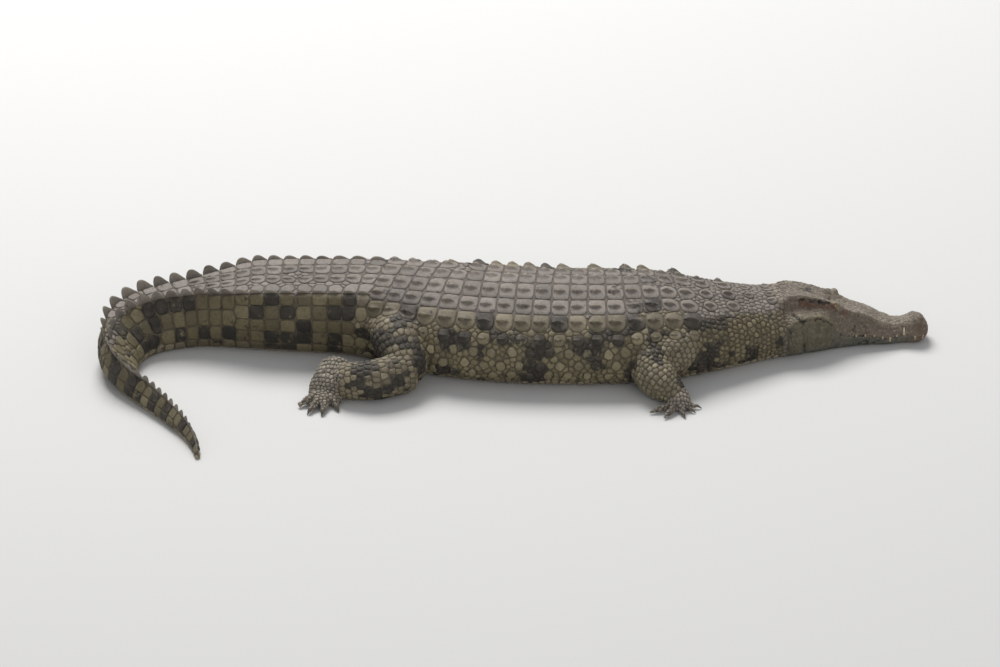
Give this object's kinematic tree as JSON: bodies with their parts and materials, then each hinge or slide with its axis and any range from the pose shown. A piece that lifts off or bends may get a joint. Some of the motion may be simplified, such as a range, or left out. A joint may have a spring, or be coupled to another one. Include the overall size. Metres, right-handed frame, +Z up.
{
  "type": "nile crocodile",
  "caption": "Life-size Nile crocodile lying flat on its belly with its mouth shut and its tail curled round beside it, as a still museum model.",
  "frame": {"origin": "middle of the whole animal's box, on the ground", "axes": "+X towards the snout, +Y towards the animal's left, +Z up"},
  "size_m": [2.5254, 1.1432, 0.2387],
  "materials": {
    "back_hide": "dry matt scales, grey-brown",
    "head_hide": "dry matt hide, grey above and olive at the jaw",
    "tail_hide": "dry matt scales, olive with dark blotches",
    "leg_hide": "dry matt scales, olive and dark, paler feet",
    "claw": "dull horn",
    "eye": "wet eye, yellow-brown iris with an upright slit"
  },
  "bodies": {
    "root": {"neck": "back_hide", "trunk": "back_hide", "tail_base": "tail_hide", "tail_fore": "tail_hide", "tail_bend": "tail_hide", "tail_turn": "tail_hide", "tail_return": "tail_hide", "tail_tip": "tail_hide", "skull": "head_hide", "lower_jaw": "head_hide", "eye_left": "eye", "ear_flap_left": "head_hide", "eye_right": "eye", "ear_flap_right": "head_hide", "upper_arm_right": "leg_hide", "forearm_right": "leg_hide", "hand_right": "leg_hide", "claw_hand_right_1": "claw", "claw_hand_right_2": "claw", "claw_hand_right_3": "claw", "upper_arm_left": "leg_hide", "forearm_left": "leg_hide", "hand_left": "leg_hide", "claw_hand_left_1": "claw", "claw_hand_left_2": "claw", "claw_hand_left_3": "claw", "thigh_right": "leg_hide", "shank_right": "leg_hide", "foot_right": "leg_hide", "claw_foot_right_1": "claw", "claw_foot_right_2": "claw", "claw_foot_right_3": "claw", "thigh_left": "leg_hide", "shank_left": "leg_hide", "foot_left": "leg_hide", "claw_foot_left_1": "claw", "claw_foot_left_2": "claw", "claw_foot_left_3": "claw"}
  },
  "joints": []
}
